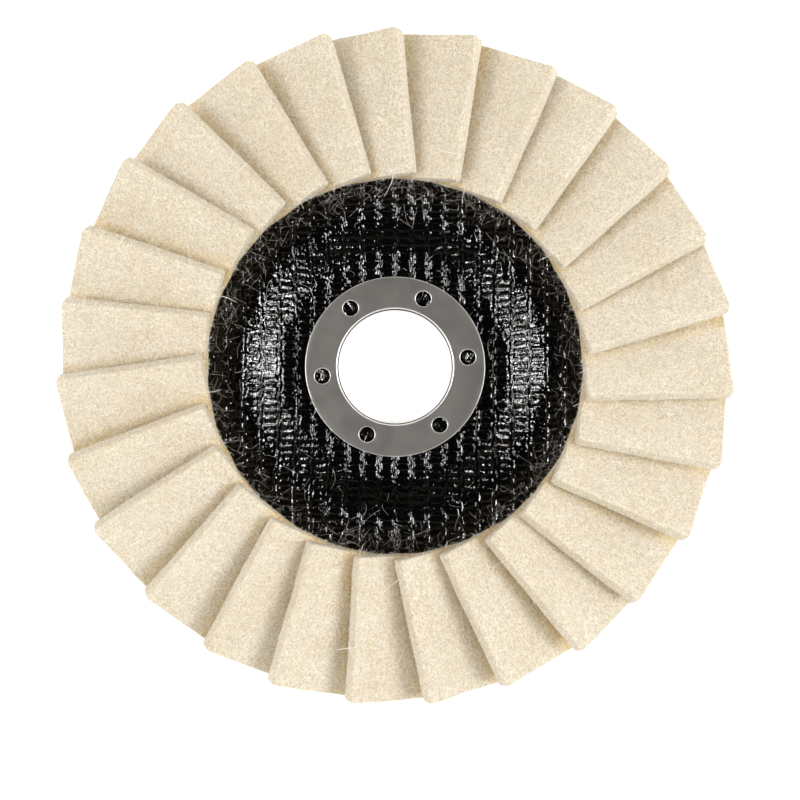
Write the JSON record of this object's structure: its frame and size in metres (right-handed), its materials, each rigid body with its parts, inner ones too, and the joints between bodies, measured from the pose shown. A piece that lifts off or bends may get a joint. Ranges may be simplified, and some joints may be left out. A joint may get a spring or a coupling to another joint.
{
  "type": "felt flap polishing wheel",
  "caption": "Round polishing wheel for an angle grinder: overlapping wool felt flaps bonded to a dished black glass-fibre backing with a steel centre ring.",
  "frame": {"origin": "centre of the arbor bore at the rear face of the hub", "axes": "+Z along the bore axis, out of the working face; +X and +Y lie in the hub's rear face"},
  "size_m": [0.1248, 0.1246, 0.0177],
  "materials": {
    "wool_felt": "matte pressed wool felt with fine loose fibres",
    "glass_mesh": "black glass-fibre leno mesh wetted with glossy resin",
    "backing_core": "moulded fibre-filled resin",
    "adhesive": "cured epoxy",
    "ring_steel": "satin stamped steel"
  },
  "bodies": {
    "root": {"centre_ring": "ring_steel", "front_glass_mesh": "glass_mesh", "backing_plate": "backing_core", "rear_glass_mesh": "glass_mesh", "adhesive_bed": "adhesive", "flap_01": "wool_felt", "flap_02": "wool_felt", "flap_03": "wool_felt", "flap_04": "wool_felt", "flap_05": "wool_felt", "flap_06": "wool_felt", "flap_07": "wool_felt", "flap_08": "wool_felt", "flap_09": "wool_felt", "flap_10": "wool_felt", "flap_11": "wool_felt", "flap_12": "wool_felt", "flap_13": "wool_felt", "flap_14": "wool_felt", "flap_15": "wool_felt", "flap_16": "wool_felt", "flap_17": "wool_felt", "flap_18": "wool_felt", "flap_19": "wool_felt", "flap_20": "wool_felt", "flap_21": "wool_felt", "flap_22": "wool_felt", "flap_23": "wool_felt", "flap_24": "wool_felt", "flap_25": "wool_felt", "flap_26": "wool_felt", "flap_27": "wool_felt"}
  },
  "joints": []
}
